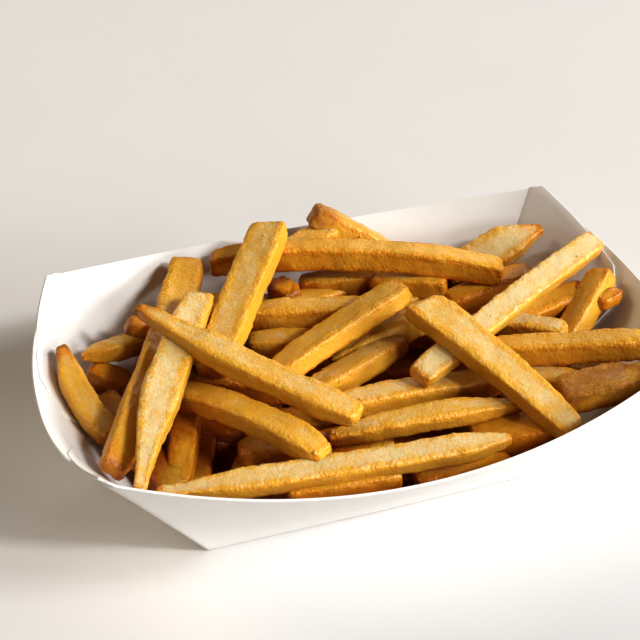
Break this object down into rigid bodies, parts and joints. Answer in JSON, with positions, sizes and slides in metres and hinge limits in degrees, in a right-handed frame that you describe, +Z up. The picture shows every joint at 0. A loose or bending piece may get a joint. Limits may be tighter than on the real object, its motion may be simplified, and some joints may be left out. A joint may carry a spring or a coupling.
{
  "type": "tray of french fries",
  "caption": "Open folded paperboard food tray with flared walls and wavy rims, heaped with thick-cut golden french fries.",
  "frame": {"origin": "centre of the tray's outline, on the surface the tray stands on", "axes": "+X along the tray's long side, +Y across it towards the back wall, +Z up out of the open top"},
  "size_m": [0.1898, 0.133, 0.0569],
  "materials": {
    "paperboard": "smooth uncoated white paperboard, faint fibre grain",
    "fried_potato": "crisp fried potato with a slightly oily, grainy crust"
  },
  "bodies": {
    "root": {"tray": "paperboard", "fries": "fried_potato"}
  },
  "joints": []
}
